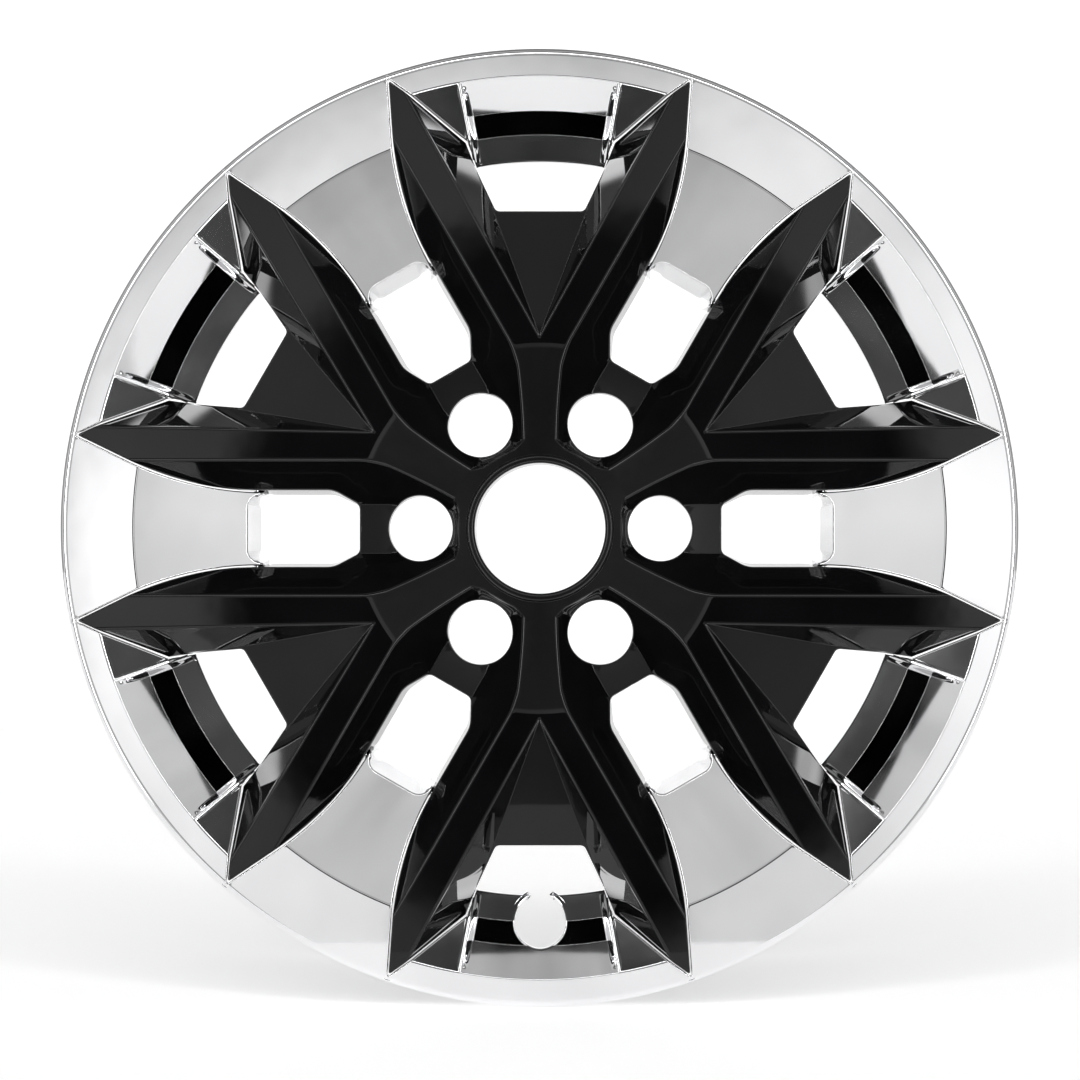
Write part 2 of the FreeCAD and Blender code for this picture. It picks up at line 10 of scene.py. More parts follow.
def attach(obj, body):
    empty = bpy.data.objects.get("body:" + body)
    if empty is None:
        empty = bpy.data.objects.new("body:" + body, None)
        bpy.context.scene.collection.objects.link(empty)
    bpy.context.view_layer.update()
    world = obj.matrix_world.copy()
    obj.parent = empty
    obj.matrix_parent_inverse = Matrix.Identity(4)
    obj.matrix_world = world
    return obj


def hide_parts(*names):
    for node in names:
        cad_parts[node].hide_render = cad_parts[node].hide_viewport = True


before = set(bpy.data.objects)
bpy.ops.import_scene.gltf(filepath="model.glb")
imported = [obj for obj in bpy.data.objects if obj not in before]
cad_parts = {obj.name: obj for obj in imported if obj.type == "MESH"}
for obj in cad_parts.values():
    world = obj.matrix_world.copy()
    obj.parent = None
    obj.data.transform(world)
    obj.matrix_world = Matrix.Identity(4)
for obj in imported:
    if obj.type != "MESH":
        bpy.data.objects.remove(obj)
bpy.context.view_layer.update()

# Sizes of the mouldings, in millimetres
MM = 0.001
LUG_COUNT = 6
LUG_ANGLE = math.radians(60.0)
LUG_COS = math.cos(LUG_ANGLE)
LUG_SIN = math.sin(LUG_ANGLE)
FIT_GAP = 0.8
WALL = 2.8

COVER_RADIUS = 274.0
LIP_BACK = 14.0
LIP_FRONT = 31.0
LIP_ROLL = 5.0
CREASE_RADIUS = 231.3
CREASE_FRONT = 31.8
PANEL_EDGE = 170.4
PANEL_EDGE_FRONT = 6.5
PANEL_CORNER = 8.0
PANEL_HORN = 1.5
PANEL_HORN_RUN = 0.5
FLANGE_BACK = -6.0
FLANGE_LEAN = 6.0
BAND_EDGE_RADIUS = 257.6
FIN_ANGLE = 10.25
FIN_CREST_HALF = 1.0
FIN_FOOT_HALF = 1.9
FIN_FOOT_WINDOW = 4.6
FIN_CREST_FALL = 0.55
FIN_CREST_REACH = 1.5
FIN_ROW_OFFSETS = (-5.2, -4.6, -3.8, -3.0, -2.2, -1.5, -1.0, -0.6, 0.0, 0.6, 1.0, 1.25, 1.55, 1.9, 2.5)
FRAME_HALF_ANGLE = 18.6
RIDGE_RADIUS = 226.0
RIDGE_FRONT = 18.0
RECESS_RADIUS = 226.0
RECESS_FRONT = 7.0
LEDGE_OUTER_RADIUS = 241.6
LEDGE_OUTER_FRONT = 14.0
LEDGE_INNER_RADIUS = 228.0
LEDGE_INNER_FRONT = 12.6
BARREL_EDGE_RADIUS = 214.4
BARREL_EDGE_FRONT = 2.5
VALVE_CIRCLE_RADIUS = 228.2
VALVE_HOLE_RADIUS = 14.8

SPOKE_FRONT = 32.0
DISH_RADIUS = 106.0
HUB_RADIUS = 42.6
HUB_FRONT = 15.2
BORE_RADIUS = 37.7
HUB_LIP_HEIGHT = 2.4
INSERT_BACK = -6.0
INSERT_RADIUS = 270.0
BACK_BEND_RADIUS = 200.0
TIP_BACK = 16.0
SLOT_START = 106.0
SLOT_START_HALF = 14.0
SLOT_CHAMFER = 120.0
SLOT_HALF = 22.2
SLOT_BEND = 200.7
SLOT_BEND_RADIUS = 155.0
TIP_ALONG = 263.6
TIP_ACROSS = 52.9
FLOOR_END = 183.5
FLOOR_END_HALF = 25.5
WINDOW_SIDE = 209.0
WINDOW_SIDE_HALF = 37.3
NOTCH_ALONG = 224.7
NOTCH_HALF = 43.4
POCKET_APEX = 109.3
POCKET_FLOOR_SLOPE = math.tan(math.radians(13.0))
POCKET_HALF_SLOPE = math.tan(math.radians(20.0))
POCKET_SIDE_SLOPE = math.tan(math.radians(51.0))
LUG_CIRCLE_RADIUS = 69.85
LUG_HOLE_RADIUS = 18.9
TROUGH_STATIONS = (49.0, 87.0, 106.0, 320.0)
TROUGH_FLOORS = (10.0, 2.5, 0.2, 0.2)
TROUGH_HALVES = (10.0, 14.4, 14.4, 14.4)
TROUGH_CREASES = (31.4, 38.5, 38.5, 38.5)
TROUGH_END_SLOPE = 3.0
TROUGH_CREASE_START = 47.2
TROUGH_CREASE_END = 238.0
TROUGH_END_HALF = 16.5
WEB_START = 88.0
POCKET_CREASE_END = 246.0
EAR_ALONG = 196.0
EAR_ACROSS = 12.0
EAR_THICKNESS = 3.0
EAR_HALF_LENGTH = 7.0
EAR_INNER_HALF = 6.0
POST_RADIUS = 4.5
POST_COVER = 0.4

# Roundings of the mouldings' edges
CREASE_BLEND = 1.7
VALLEY_BLEND = 0.5
DISH_BLEND = 1.2
BAND_BLEND = 0.25
RIDGE_BLEND = 3.0
FRAME_BLEND = 0.4
SHARP_ANGLE = math.radians(38.0)
INSERT_EDGE = 1.0
RING_EDGE = 0.9
WALL_LEAN = 0.13
TIP_RADIUS = 0.8
TIP_RUN = 0.08
FLOOR_CORNER_RADIUS = 3.5
SLOT_CHAMFER_RADIUS = 14.0
SLOT_END_RADIUS = 4.5
FAR_LEVEL = 400.0
MIRROR_OVERRUN = 12.0

# Spacing of the mesh points
EDGE_ROW_SHARES = (0.06, 0.25, 0.55, 1.0)
EDGE_CLEARANCE = 0.93
CREASE_ROWS = (-1.3, -0.85, -0.42, 0.0, 0.42, 0.85, 1.3)
ROW_CLEARANCE = 0.12
STEP_ROW_OFFSET = 0.07
FILL_STEP = 6.0
FILL_LINE_SHARE = 0.866
FILL_CLEARANCE = 0.55
HALVINGS = 40
MERGE_DISTANCE = 1e-3

# Studio light, by the angle in degrees away from the camera's axis
RING_STOPS = ((0.0, 0.0), (10.4, 0.0), (11.0, 0.74), (16.0, 0.74), (20.0, 0.26), (29.0, 0.26), (33.0, 0.5),
              (46.0, 0.5), (59.0, 0.04), (64.0, 0.04), (66.0, 0.17), (74.0, 0.17), (78.0, 0.5),
              (105.0, 0.2), (180.0, 0.2))
STRIP_STOPS = ((0.0, 0.0), (50.5, 0.0), (51.5, 1.0), (56.0, 1.0), (57.0, 0.0), (180.0, 0.0))
STRIP_STRENGTH = 5.5
SIDE_GAIN = 0.8
BELOW_LOSS = 0.3


def to_plan(along, across):
    """A point of the lug axis's frame in the plan of one half sector."""
    return np.array((along * LUG_COS - across * LUG_SIN, along * LUG_SIN + across * LUG_COS))


def to_lug(x, y):
    """Along and across a lug axis, from plan coordinates."""
    return x * LUG_COS + y * LUG_SIN, y * LUG_COS - x * LUG_SIN


def folded(x, y):
    """The same place in the half sector between a V axis and the lug axis to its right."""
    x = np.abs(x)
    along, across = to_lug(x, y)
    across = np.abs(across)
    plan = to_plan(along, across)
    return plan[0], plan[1], along, across


def lower_of(first, second, blend):
    """The lower of two surfaces, with the ridge between them rounded."""
    share = np.clip(0.5 + 0.5 * (second - first) / blend, 0.0, 1.0)
    return second * (1.0 - share) + first * share - blend * share * (1.0 - share)


def upper_of(first, second, blend):
    """The upper of two surfaces, with the valley between them rounded."""
    return -lower_of(-first, -second, blend)


def slope_line(radius, start, end):
    """Level on the straight line through two (radius, level) points."""
    return start[1] + (radius - start[0]) * (end[1] - start[1]) / (end[0] - start[0])


class Outline:
    """Closed outline of one half sector. Free edges are real edges, the others lie on a mirror line."""

    def __init__(self, start):
        self.points = [np.array(start, dtype=float)]
        self.free = []

    def line(self, end, free=True, step=3.0):
        """A straight edge."""
        start = self.points[-1]
        end = np.array(end, dtype=float)
        count = max(1, math.ceil(np.linalg.norm(end - start) / step))
        for index in range(1, count + 1):
            self.points.append(start + (end - start) * index / count)
            self.free.append(free)

    def arc(self, centre, radius, first, last, free=True, step=2.0):
        """A round edge from one angle to another, in degrees."""
        count = max(2, math.ceil(abs(math.radians(last - first)) * radius / step))
        for index in range(1, count + 1):
            angle = math.radians(first + (last - first) * index / count)
            self.points.append(np.array(centre) + radius * np.array((math.cos(angle), math.sin(angle))))
            self.free.append(free)

    def bend(self, corner, end, radius, step=2.5):
        """A straight edge towards a corner, then a round turn towards the end point."""
        start = self.points[-1]
        corner = np.array(corner, dtype=float)
        end = np.array(end, dtype=float)
        before = (start - corner) / np.linalg.norm(start - corner)
        after = (end - corner) / np.linalg.norm(end - corner)
        half = 0.5 * math.acos(float(np.dot(before, after)))
        reach = radius / math.tan(half)
        middle = (before + after) / np.linalg.norm(before + after)
        centre = corner + middle * radius / math.sin(half)
        self.line(corner + before * reach)
        first = self.points[-1] - centre
        last = corner + after * reach - centre
        start_angle = math.degrees(math.atan2(first[1], first[0]))
        turn = math.degrees(math.atan2(last[1], last[0])) - start_angle
        turn = (turn + 180.0) % 360.0 - 180.0
        self.arc(centre, radius, start_angle, start_angle + turn, step=step)
        self.line(end)

    def close(self, free):
        """Drops the last point, which is the first one again."""
        self.points.pop()
        self.free[-1] = free

    def array(self):
        """All points in one array."""
        return np.array(self.points)

    def distance(self, x, y):
        """Distance to the nearest free edge."""
        points = self.array()
        following = np.roll(points, -1, axis=0)
        chosen = np.array(self.free)
        start = points[chosen]
        span = following[chosen] - start
        where = np.stack([np.ravel(x), np.ravel(y)], axis=1)
        best = np.full(len(where), FAR_LEVEL)
        for first in range(0, len(where), 2000):
            part = where[first:first + 2000, None, :] - start[None]
            share = np.clip((part * span).sum(2) / (span * span).sum(1), 0.0, 1.0)
            gap = part - share[..., None] * span
            best[first:first + 2000] = np.sqrt((gap * gap).sum(2)).min(1)
        return best.reshape(np.shape(x))

    def inside(self, x, y):
        """Whether a place lies inside."""
        points = self.array()
        following = np.roll(points, -1, axis=0)
        x = np.asarray(x)[:, None]
        y = np.asarray(y)[:, None]
        crosses = (points[:, 1] > y) != (following[:, 1] > y)
        rise = np.where(following[:, 1] == points[:, 1], 1.0, following[:, 1] - points[:, 1])
        at = points[:, 0] + (y - points[:, 1]) * (following[:, 0] - points[:, 0]) / rise
        return (np.logical_and(crosses, x < at).sum(1) % 2) == 1

    def free_runs(self):
        """Each run of free edges as one line of points."""
        points = self.array()
        count = len(points)
        runs = []
        current = None
        for index in range(count):
            if self.free[index]:
                if current is None:
                    current = [points[index]]
                current.append(points[(index + 1) % count])
            elif current is not None:
                runs.append(np.array(current))
                current = None
        if current is not None:
            runs.append(np.array(current))
        return runs


def round_row(radius, angles):
    """A row of points on a circle round the axis."""
    return np.stack([radius * np.cos(angles), radius * np.sin(angles)], axis=1)


def shifted(line, offset):
    """A line of points moved sideways."""
    tangent = np.gradient(line, axis=0)
    tangent /= np.maximum(np.linalg.norm(tangent, axis=1), 1e-9)[:, None]
    return line + offset * np.stack([-tangent[:, 1], tangent[:, 0]], axis=1)


def make_plan(outline, creases, extra_rows, edge_rows):
    """Triangles of one half sector, with rows of points along its edges and creases."""
    points = list(outline.array())
    count = len(points)
    edges = [(index, (index + 1) % count) for index in range(count)]
    rows = []
    for run in outline.free_runs():
        for row in edge_rows:
            rows += [(shifted(run, side * row), EDGE_CLEARANCE * row) for side in (-1.0, 1.0)]
    rows += [(shifted(line, row), ROW_CLEARANCE) for line in creases for row in CREASE_ROWS]
    rows += [(line, ROW_CLEARANCE) for line in extra_rows]
    for line, clearance in rows:
        x, y, _, _ = folded(line[:, 0], line[:, 1])
        kept = outline.inside(x, y) & (outline.distance(x, y) >= clearance)
        kept &= np.hypot(x - line[:, 0], y - line[:, 1]) < MIRROR_OVERRUN
        previous = None
        for point, keep in zip(line, kept):
            if not keep:
                previous = None
                continue
            points.append(point)
            if previous is not None:
                edges.append((previous, len(points) - 1))
            previous = len(points) - 1
    points += list(fill_points(outline, np.array(points), FILL_STEP))
    places = [Vector((float(x), float(y))) for x, y in points]
    found = delaunay_2d_cdt(places, edges, [], 0, MERGE_DISTANCE)
    plan = on_mirror_lines(np.array([(place.x, place.y) for place in found[0]]))
    faces = np.array([face for face in found[2] if len(face) == 3])
    middle = plan[faces].mean(axis=1)
    faces = faces[outline.inside(middle[:, 0], middle[:, 1])]
    first, second, third = plan[faces[:, 0]], plan[faces[:, 1]], plan[faces[:, 2]]
    turn = (second - first)[:, 0] * (third - first)[:, 1] - (second - first)[:, 1] * (third - first)[:, 0]
    faces[turn < 0.0] = faces[turn < 0.0][:, ::-1]
    return plan, faces[np.abs(turn) > 1e-6]


def on_mirror_lines(plan):
    """Moves points that all but lie on a mirror line onto it."""
    snap = 0.02
    plan[np.abs(plan[:, 0]) < snap, 0] = 0.0
    along, across = to_lug(plan[:, 0], plan[:, 1])
    near = np.abs(across) < snap
    plan[near] = to_plan(along[near], np.zeros(near.sum())).T
    return plan


def fill_points(outline, taken, step):
    """An even spread of points over the open areas."""
    low = outline.array().min(axis=0)
    high = outline.array().max(axis=0)
    columns = np.arange(low[0], high[0], step)
    lines = np.arange(low[1], high[1], step * FILL_LINE_SHARE)
    x, y = np.meshgrid(columns, lines)
    x = x + 0.5 * step * (np.arange(len(lines)) % 2)[:, None]
    x, y = x.ravel(), y.ravel()
    kept = outline.inside(x, y)
    x, y = x[kept], y[kept]
    gap = np.full(len(x), FAR_LEVEL)
    for first in range(0, len(x), 500):
        part = np.hypot(x[first:first + 500, None] - taken[:, 0], y[first:first + 500, None] - taken[:, 1])
        gap[first:first + 500] = part.min(1)
    kept = gap > FILL_CLEARANCE * step
    return np.stack([x[kept], y[kept]], axis=1)


# Spoke insert

def trough_level(along, across):
    """The hollow along a lug axis."""
    floor = np.interp(along, TROUGH_STATIONS, TROUGH_FLOORS)
    half = np.interp(along, TROUGH_STATIONS, TROUGH_HALVES)
    crease = np.interp(along, TROUGH_STATIONS, TROUGH_CREASES)
    side = floor + (across - half) * (SPOKE_FRONT - floor) / (crease - half)
    before = TROUGH_END_SLOPE * np.maximum(TROUGH_STATIONS[0] - along, 0.0)
    return upper_of(floor, side, VALLEY_BLEND) + before


def pocket_level(x, y):
    """The wedge-shaped hollow inside a V pair of spokes."""
    floor = SPOKE_FRONT - (y - POCKET_APEX) * POCKET_FLOOR_SLOPE
    side = floor + (x - (y - POCKET_APEX) * POCKET_HALF_SLOPE) * POCKET_SIDE_SLOPE
    return upper_of(floor, side, VALLEY_BLEND)


def hub_level(radius):
    """The flat spoke tops, the dished hub and its rolled lip."""
    dish = slope_line(radius, (HUB_RADIUS, HUB_FRONT), (DISH_RADIUS, SPOKE_FRONT))
    level = lower_of(np.full_like(radius, SPOKE_FRONT), dish, DISH_BLEND)
    half = 0.5 * (HUB_RADIUS - BORE_RADIUS)
    off = np.clip((radius - BORE_RADIUS - half) / half, -1.0, 1.0)
    lip = HUB_FRONT + HUB_LIP_HEIGHT * np.sqrt(1.0 - off * off)
    return np.where(radius < HUB_RADIUS, lip, level)


def edge_fall(distance, rounding):
    """How far a rounded edge falls away, by the distance from the outline."""
    share = np.clip(rounding - distance, 0.0, rounding)
    return rounding - np.sqrt(np.maximum(rounding * rounding - share * share, 0.0))


def insert_outline():
    """Half sector of the spoke insert."""
    tip = to_plan(TIP_ALONG, TIP_ACROSS)
    outline = Outline((0.0, BORE_RADIUS))
    outline.line((0.0, FLOOR_END), free=False, step=5.0)
    floor_corner = np.array((FLOOR_END_HALF, FLOOR_END))
    side_corner = np.array((WINDOW_SIDE_HALF, WINDOW_SIDE))
    notch = np.array((NOTCH_HALF, NOTCH_ALONG))
    slot_corner = to_plan(SLOT_CHAMFER, SLOT_HALF)
    slot_end = to_plan(SLOT_START, SLOT_START_HALF)
    bend = to_plan(SLOT_BEND, SLOT_HALF)
    outline.bend(floor_corner, 0.5 * (floor_corner + side_corner), FLOOR_CORNER_RADIUS, step=1.0)
    outline.line(side_corner)
    outline.line(notch)
    outline.bend(tip, tip + TIP_RUN * (bend - tip), TIP_RADIUS, step=0.4)
    outline.bend(bend, 0.6 * slot_corner + 0.4 * bend, SLOT_BEND_RADIUS)
    outline.bend(slot_corner, 0.5 * (slot_corner + slot_end), SLOT_CHAMFER_RADIUS, step=1.5)
    outline.bend(slot_end, to_plan(SLOT_START, 0.4 * SLOT_START_HALF), SLOT_END_RADIUS, step=1.0)
    outline.line(to_plan(SLOT_START, 0.0), step=2.0)
    outline.line(to_plan(LUG_CIRCLE_RADIUS + LUG_HOLE_RADIUS, 0.0), free=False)
    outline.arc(to_plan(LUG_CIRCLE_RADIUS, 0.0), LUG_HOLE_RADIUS, 60.0, 240.0, step=1.5)
    outline.line(to_plan(BORE_RADIUS, 0.0), free=False)
    outline.arc((0.0, 0.0), BORE_RADIUS, 60.0, 90.0, free=False, step=1.2)
    outline.close(False)
    return outline


def insert_level(outline, x, y):
    """Front of the spoke insert."""
    x, y, along, across = folded(x, y)
    level = hub_level(np.hypot(x, y))
    for hollow in (trough_level(along, across), pocket_level(x, y)):
        level = lower_of(level, hollow, CREASE_BLEND)
    return level - edge_fall(outline.distance(x, y), INSERT_EDGE)


def crossing(surface, low, high):
    """Where a surface difference changes sign, by halving, for a whole row of lines at once."""
    for _ in range(HALVINGS):
        middle = 0.5 * (low + high)
        above = surface(middle) > 0.0
        high = np.where(above, middle, high)
        low = np.where(above, low, middle)
    return 0.5 * (low + high)


def insert_creases():
    """Lines of the creases in the front of the spoke insert."""
    along = np.linspace(TROUGH_CREASE_START, TROUGH_CREASE_END, 80)
    upward = np.linspace(POCKET_APEX + 0.6, POCKET_CREASE_END, 60)
    web = np.linspace(WEB_START, SLOT_START, 8)
    end_across = np.linspace(-2.0, TROUGH_END_HALF, 10)

    def over_trough(across):
        return trough_level(along, across) - hub_level(np.hypot(along, across))

    def over_pocket(x):
        return pocket_level(x, upward) - hub_level(np.hypot(x, upward))

    def over_end(inward):
        return trough_level(-inward, end_across) - hub_level(np.hypot(inward, end_across))

    outer = crossing(over_trough, np.full(80, 2.0), np.full(80, 60.0))
    inner = crossing(over_pocket, np.zeros(60), np.full(60, 120.0))
    end_inward = crossing(over_end, np.full(10, -60.0), np.full(10, -40.0))
    floor_edge = (upward - POCKET_APEX) * POCKET_HALF_SLOPE
    web_edge = np.interp(web, TROUGH_STATIONS, TROUGH_HALVES)
    return [to_plan(along, outer).T, np.stack([inner, upward], axis=1),
            np.stack([floor_edge, upward], axis=1), to_plan(web, web_edge).T,
            to_plan(-end_inward, end_across).T]


def hub_rings():
    """Rows of points round the hub's lip and the rim of the dish."""
    angles = np.radians(np.linspace(59.0, 91.0, 24))
    half = 0.5 * (HUB_RADIUS - BORE_RADIUS)
    offs = [half * (1.0 - math.cos(math.radians(turn))) for turn in range(18, 181, 18)]
    radii = [BORE_RADIUS + off for off in offs]
    radii += [HUB_RADIUS + 0.4, HUB_RADIUS + 4.0, DISH_RADIUS - 4.0, DISH_RADIUS - 1.5,
              DISH_RADIUS, DISH_RADIUS + 1.5, DISH_RADIUS + 4.0]
    return [round_row(radius, angles) for radius in radii]


# Bright ring

def panel_level(radius):
    """The flat band and the dished panel inside it."""
    band = slope_line(radius, (CREASE_RADIUS, CREASE_FRONT), (COVER_RADIUS, LIP_FRONT))
    panel = slope_line(radius, (PANEL_EDGE, PANEL_EDGE_FRONT), (CREASE_RADIUS, CREASE_FRONT))
    return lower_of(band, panel, BAND_BLEND)


def band_edge():
    """Where a window frame leaves the flat band."""
    return BAND_EDGE_RADIUS, slope_line(BAND_EDGE_RADIUS, (CREASE_RADIUS, CREASE_FRONT),
                                        (COVER_RADIUS, LIP_FRONT))


def frame_level(radius, side):
    """A window frame: barrel wall, fin and recess. The side is the distance past the fin's middle."""
    outer = (LEDGE_OUTER_RADIUS, LEDGE_OUTER_FRONT)
    inner = (LEDGE_INNER_RADIUS, LEDGE_INNER_FRONT)
    steep = slope_line(radius, band_edge(), outer)
    ledge = slope_line(radius, outer, inner)
    low = slope_line(radius, inner, (BARREL_EDGE_RADIUS, BARREL_EDGE_FRONT))
    barrel = np.maximum(steep, np.minimum(ledge, low))
    recess = slope_line(radius, band_edge(), (RECESS_RADIUS, RECESS_FRONT))
    ridge = lower_of(slope_line(radius, band_edge(), (RIDGE_RADIUS, RIDGE_FRONT)),
                     slope_line(radius, (RIDGE_RADIUS, RIDGE_FRONT), (BARREL_EDGE_RADIUS, BARREL_EDGE_FRONT)),
                     RIDGE_BLEND)
    off = np.abs(side)
    crest = ridge - FIN_CREST_FALL * np.minimum(off / FIN_CREST_HALF, FIN_CREST_REACH) ** 2
    foot = np.where(side < 0.0, FIN_FOOT_WINDOW, FIN_FOOT_HALF)
    share = np.clip((foot - off) / (foot - FIN_CREST_HALF), 0.0, 1.0)
    share = share * share * (3.0 - 2.0 * share)
    base = np.where(side < 0.0, barrel, recess)
    return base + np.maximum(crest - base, 0.0) * share


def fin_side(x, y):
    """Distance past the middle of a fin, away from the V axis."""
    return np.hypot(x, y) * (np.arctan2(x, y) - math.radians(FIN_ANGLE))


def ring_level(outline, x, y):
    """Front of the bright ring."""
    x, y, _, _ = folded(x, y)
    radius = np.hypot(x, y)
    level = panel_level(radius)
    framed = lower_of(level, frame_level(radius, fin_side(x, y)), FRAME_BLEND)
    in_frame = np.degrees(np.arctan2(x, y)) < FRAME_HALF_ANGLE
    level = np.where(in_frame, framed, level)
    level = level - edge_fall(outline.distance(x, y), RING_EDGE)
    return level - edge_fall(COVER_RADIUS - radius, LIP_ROLL)


def grown_corner(before, corner, after, grow):
    """A corner of an outline moved so that both its edges move sideways by the same amount."""
    first = (corner - before) / np.linalg.norm(corner - before)
    second = (after - corner) / np.linalg.norm(after - corner)
    first_normal = np.array((-first[1], first[0]))
    second_normal = np.array((-second[1], second[0]))
    middle = first_normal + second_normal
    return corner + grow * 2.0 * middle / np.dot(middle, middle)


def spear_corners():
    """Opening for a spoke's tip in the ring, a fit gap wider all round."""
    chain = [to_plan(SLOT_CHAMFER, SLOT_HALF), to_plan(SLOT_BEND, SLOT_HALF), to_plan(TIP_ALONG, TIP_ACROSS),
             np.array((NOTCH_HALF, NOTCH_ALONG)), np.array((WINDOW_SIDE_HALF, WINDOW_SIDE))]
    moved = [grown_corner(chain[index - 1], chain[index], chain[index + 1], -FIT_GAP) for index in (1, 2, 3)]
    side = (chain[4] - chain[3]) / np.linalg.norm(chain[4] - chain[3])
    last = chain[4] - FIT_GAP * np.array((-side[1], side[0]))
    return moved + [last]


def ring_outline(with_valve):
    """Half sector of the bright ring, with or without the valve hole on its V axis."""
    bend, tip, notch, side = spear_corners()
    top = VALVE_CIRCLE_RADIUS + VALVE_HOLE_RADIUS if with_valve else BARREL_EDGE_RADIUS
    outline = Outline((0.0, top))
    outline.line((0.0, COVER_RADIUS), free=False, step=3.0)
    outline.arc((0.0, 0.0), COVER_RADIUS, 90.0, 60.0, free=False, step=2.5)
    outline.line(to_plan(PANEL_EDGE, 0.0), free=False, step=4.0)
    half = SLOT_HALF - FIT_GAP
    flange_half = half - PANEL_HORN
    horn_end = PANEL_EDGE - PANEL_CORNER - PANEL_HORN_RUN
    outline.bend(to_plan(PANEL_EDGE, flange_half), to_plan(horn_end, flange_half), PANEL_CORNER, step=1.2)
    outline.line(to_plan(horn_end, half))
    outline.bend(bend, tip + TIP_RUN * (bend - tip), SLOT_BEND_RADIUS + FIT_GAP)
    outline.bend(tip, tip + TIP_RUN * (notch - tip), TIP_RADIUS, step=0.4)
    outline.line(notch)
    direction = (side - notch) / np.linalg.norm(side - notch)

    def past_barrel(reach):
        return BARREL_EDGE_RADIUS - np.hypot(notch[0] + reach * direction[0], notch[1] + reach * direction[1])

    along = crossing(past_barrel, np.zeros(1), np.full(1, 30.0))[0]
    corner = notch + along * direction
    outline.line(corner)
    start = math.degrees(math.atan2(corner[1], corner[0]))
    if not with_valve:
        outline.arc((0.0, 0.0), BARREL_EDGE_RADIUS, start, 90.0)
        outline.close(True)
        return outline
    squares = BARREL_EDGE_RADIUS ** 2 - VALVE_HOLE_RADIUS ** 2 + VALVE_CIRCLE_RADIUS ** 2
    height = squares / (2.0 * VALVE_CIRCLE_RADIUS)
    meeting = math.degrees(math.asin(height / BARREL_EDGE_RADIUS))
    outline.arc((0.0, 0.0), BARREL_EDGE_RADIUS, start, meeting)
    width = math.sqrt(BARREL_EDGE_RADIUS ** 2 - height ** 2)
    first = math.degrees(math.atan2(height - VALVE_CIRCLE_RADIUS, width))
    outline.arc((0.0, VALVE_CIRCLE_RADIUS), VALVE_HOLE_RADIUS, first, 90.0, step=1.2)
    outline.close(True)
    return outline


def ring_creases():
    """Lines of the creases in the front of the bright ring."""
    angles = np.radians(np.linspace(59.0, 91.0, 56))
    radii = (BAND_EDGE_RADIUS, CREASE_RADIUS, COVER_RADIUS - LIP_ROLL)
    return [round_row(radius, angles) for radius in radii]


def ledge_rows():
    """Pairs of rows close to each side of the barrel's two sharp steps."""
    angles = np.radians(np.linspace(78.0, 91.0, 30))
    offsets = (-STEP_ROW_OFFSET, STEP_ROW_OFFSET)
    radii = [radius + off for radius in (LEDGE_OUTER_RADIUS, LEDGE_INNER_RADIUS) for off in offsets]
    return [round_row(radius, angles) for radius in radii]


def lip_rows():
    """Rows of points round the rolled lip."""
    angles = np.radians(np.linspace(59.4, 90.6, 60))
    rows = []
    for turn in range(12, 90, 13):
        radius = COVER_RADIUS - LIP_ROLL * (1.0 - math.sin(math.radians(turn)))
        rows.append(round_row(radius, angles))
    return rows


def fin_rows():
    """Rows of points along a fin, across its crest and down both sides."""
    radii = np.linspace(BARREL_EDGE_RADIUS - 2.0, BAND_EDGE_RADIUS + 4.0, 44)
    rows = []
    for off in FIN_ROW_OFFSETS:
        angle = math.radians(FIN_ANGLE) + off / radii
        rows.append(np.stack([radii * np.sin(angle), radii * np.cos(angle)], axis=1))
    return rows


# Building a moulding from its half sectors

def surface_normals(level, plan):
    """Normals of a front surface from its slopes."""
    step = 0.02
    x, y = plan[:, 0], plan[:, 1]
    normals = np.ones((len(plan), 3))
    normals[:, 0] = (level(x - step, y) - level(x + step, y)) / (2.0 * step)
    normals[:, 1] = (level(x, y - step) - level(x, y + step)) / (2.0 * step)
    return normals / np.linalg.norm(normals, axis=1)[:, None]


def spread_sectors(sheets):
    """All twelve half sectors: points, normals and faces. A sheet is chosen for each sector."""
    points, normals, faces = [], [], []
    total = 0
    for index in range(LUG_COUNT):
        plan, levels, slopes, triangles = sheets[index]
        turn = index * 2.0 * math.pi / LUG_COUNT
        cosine, sine = math.cos(turn), math.sin(turn)
        for mirror in (1.0, -1.0):
            x, y = plan[:, 0] * mirror, plan[:, 1]
            points.append(np.stack([x * cosine - y * sine, x * sine + y * cosine, levels], axis=1))
            across, upward = slopes[:, 0] * mirror, slopes[:, 1]
            normals.append(np.stack([across * cosine - upward * sine, across * sine + upward * cosine,
                                     slopes[:, 2]], axis=1))
            faces.append((triangles if mirror > 0.0 else triangles[:, ::-1]) + total)
            total += len(plan)
    return np.concatenate(points), np.concatenate(normals), np.concatenate(faces)


def welded(points, normals, faces):
    """Joins the sectors where they meet."""
    grain, offset = 0.01, 0.00137
    keys = np.round((points[:, :2] + offset) / grain).astype(np.int64)
    unique, first, which = np.unique(keys, axis=0, return_index=True, return_inverse=True)
    which = which.ravel()
    faces = which[faces]
    sound = (faces[:, 0] != faces[:, 1]) & (faces[:, 1] != faces[:, 2]) & (faces[:, 0] != faces[:, 2])
    sums = np.zeros((len(unique), 3))
    np.add.at(sums, which, normals)
    sums /= np.linalg.norm(sums, axis=1)[:, None]
    return points[first], sums, faces[sound]


def upright(points):
    """From the moulding's own frame, front along Z, to the frame of the part, front along -Y."""
    return np.stack([points[..., 0], -points[..., 2], points[..., 1]], axis=-1)


